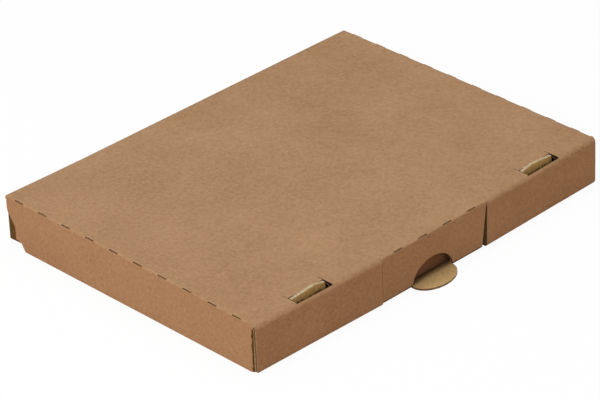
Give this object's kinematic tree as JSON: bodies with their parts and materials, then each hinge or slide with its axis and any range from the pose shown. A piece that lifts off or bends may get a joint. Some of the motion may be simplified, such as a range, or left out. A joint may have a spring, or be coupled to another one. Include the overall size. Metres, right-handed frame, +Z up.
{
  "type": "shipping box",
  "caption": "Low folded corrugated mailing carton with perforated side folds, rolled front walls locked by tongues in slots, a hinged front flap and a half-moon thumb tab.",
  "frame": {"origin": "middle of the closed carton's length and width, on the floor", "axes": "+X along the long front, -Y towards the front with the thumb tab, +Z up out of the top panel"},
  "size_m": [0.21, 0.1658, 0.0243],
  "materials": {
    "kraft_board": "matte"
  },
  "bodies": {
    "base": {"base": "kraft_board"},
    "lid": {"lid": "kraft_board"},
    "front_flap": {"front_flap": "kraft_board"}
  },
  "joints": [
    {"name": "lid_hinge", "type": "hinge", "parent": "base", "child": "lid", "pos_m": [0, 0.0781, 0.0008], "axis": [-1, 0, 0], "range_deg": [0, 90]},
    {"name": "flap_hinge", "type": "hinge", "parent": "lid", "child": "front_flap", "pos_m": [0, -0.0781, 0.0226], "axis": [-1, 0, 0], "range_deg": [0, 90]}
  ]
}
